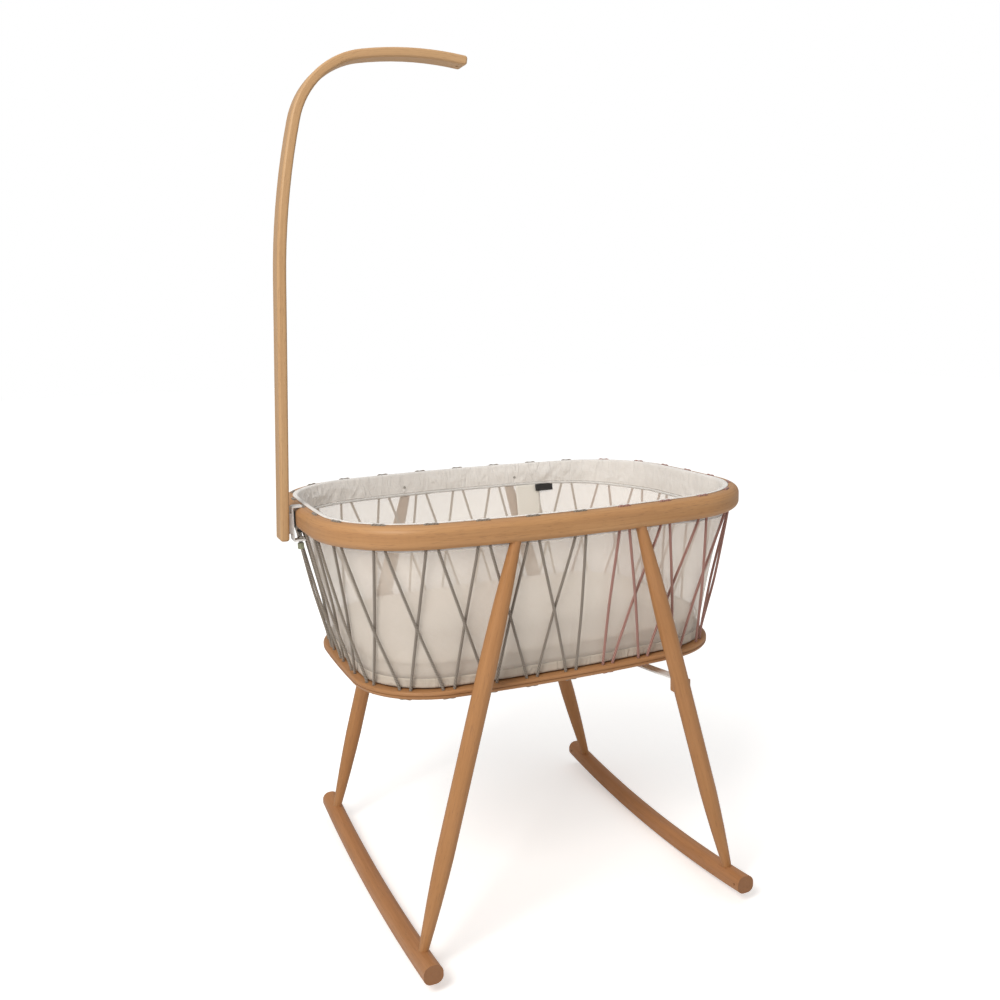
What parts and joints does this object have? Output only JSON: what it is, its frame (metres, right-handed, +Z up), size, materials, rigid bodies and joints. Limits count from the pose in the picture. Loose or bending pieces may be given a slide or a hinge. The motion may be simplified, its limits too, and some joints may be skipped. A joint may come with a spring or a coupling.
{
  "type": "bassinet on stand",
  "caption": "Oval rope-laced bassinet with a fabric liner and mattress, on splayed wooden legs with rockers, and a clamped canopy pole.",
  "frame": {"origin": "floor level, under the middle of the whole object's box: z = 0 is the lowest line of both rockers", "axes": "+Z up, X along the basket with the canopy pole at the -X end, Y across it with the front at -Y"},
  "size_m": [0.862, 0.692, 1.5434],
  "materials": {
    "beech": "oiled beech, satin, fine laminated grain along each bar",
    "beech_dowel": "plain beech dowel, hidden",
    "beech_panel": "plywood panel, satin",
    "zinc_screw": "zinc plated steel",
    "white_steel": "white powder coat, satin",
    "rope_taupe": "laid cotton rope, taupe",
    "rope_rose": "laid cotton rope, dusty rose",
    "white_cotton": "plain weave cotton, off white",
    "cream_mesh": "sheer knitted mesh, cream",
    "stud_steel": "small pressed stud",
    "label_satin": "woven label, off white",
    "tag_black": "woven tag, black, blank",
    "foam": "open cell foam, cream",
    "black_rubber": "matt black rubber",
    "white_plastic": "moulded white plastic",
    "olive_plastic": "moulded olive plastic"
  },
  "bodies": {
    "cradle": {"rim": "beech", "leg_front_left": "beech", "leg_back_left": "beech", "leg_front_right": "beech", "leg_back_right": "beech", "rocker_left": "beech", "rocker_right": "beech", "leg_dowels": "beech_dowel", "base_ring": "beech", "base_panel": "beech_panel", "base_screws": "zinc_screw", "tie_block_front": "beech", "tie_block_back": "beech", "leg_tie": "white_steel", "tie_screws": "zinc_screw", "rope_taupe": "rope_taupe", "rope_rose": "rope_rose", "rope_knots": "rope_taupe", "liner_band": "white_cotton", "liner_piping": "white_cotton", "liner_mesh": "cream_mesh", "liner_hem": "white_cotton", "liner_floor": "cream_mesh", "liner_studs": "stud_steel", "care_label": "label_satin", "liner_tag": "tag_black"},
    "mattress": {"mattress_core": "foam", "mattress_cover_top": "white_cotton", "mattress_cover_base": "white_cotton"},
    "canopy": {"canopy_pole": "beech", "clamp_bracket": "white_steel", "clamp_rubber": "black_rubber", "pole_spacer": "white_plastic", "pole_screws": "zinc_screw", "clamp_nut": "zinc_screw"},
    "clamp_pad": {"clamp_pad": "black_rubber"},
    "clamp_screw": {"clamp_screw": "zinc_screw", "clamp_knob": "olive_plastic"}
  },
  "joints": [
    {"name": "mattress_lift", "type": "slide", "parent": "cradle", "child": "mattress", "axis": [0, 0, 1], "range_m": [0, 0.3]},
    {"name": "canopy_pull_off", "type": "slide", "parent": "cradle", "child": "canopy", "axis": [-1, 0, 0], "range_m": [0, 0.06]},
    {"name": "clamp_pad_travel", "type": "slide", "parent": "canopy", "child": "clamp_pad", "axis": [0, 0, 1], "range_m": [-0.005, 0]},
    {"name": "clamp_screw_turn", "type": "hinge", "parent": "clamp_pad", "child": "clamp_screw", "pos_m": [-0.3923, 0, 0.695], "axis": [0, 0, 1], "range_deg": [-1801, 0]}
  ],
  "couplings": [
    {"joint": "clamp_screw_turn", "follows": "clamp_pad_travel", "rad_per_m": 6283.2}
  ]
}
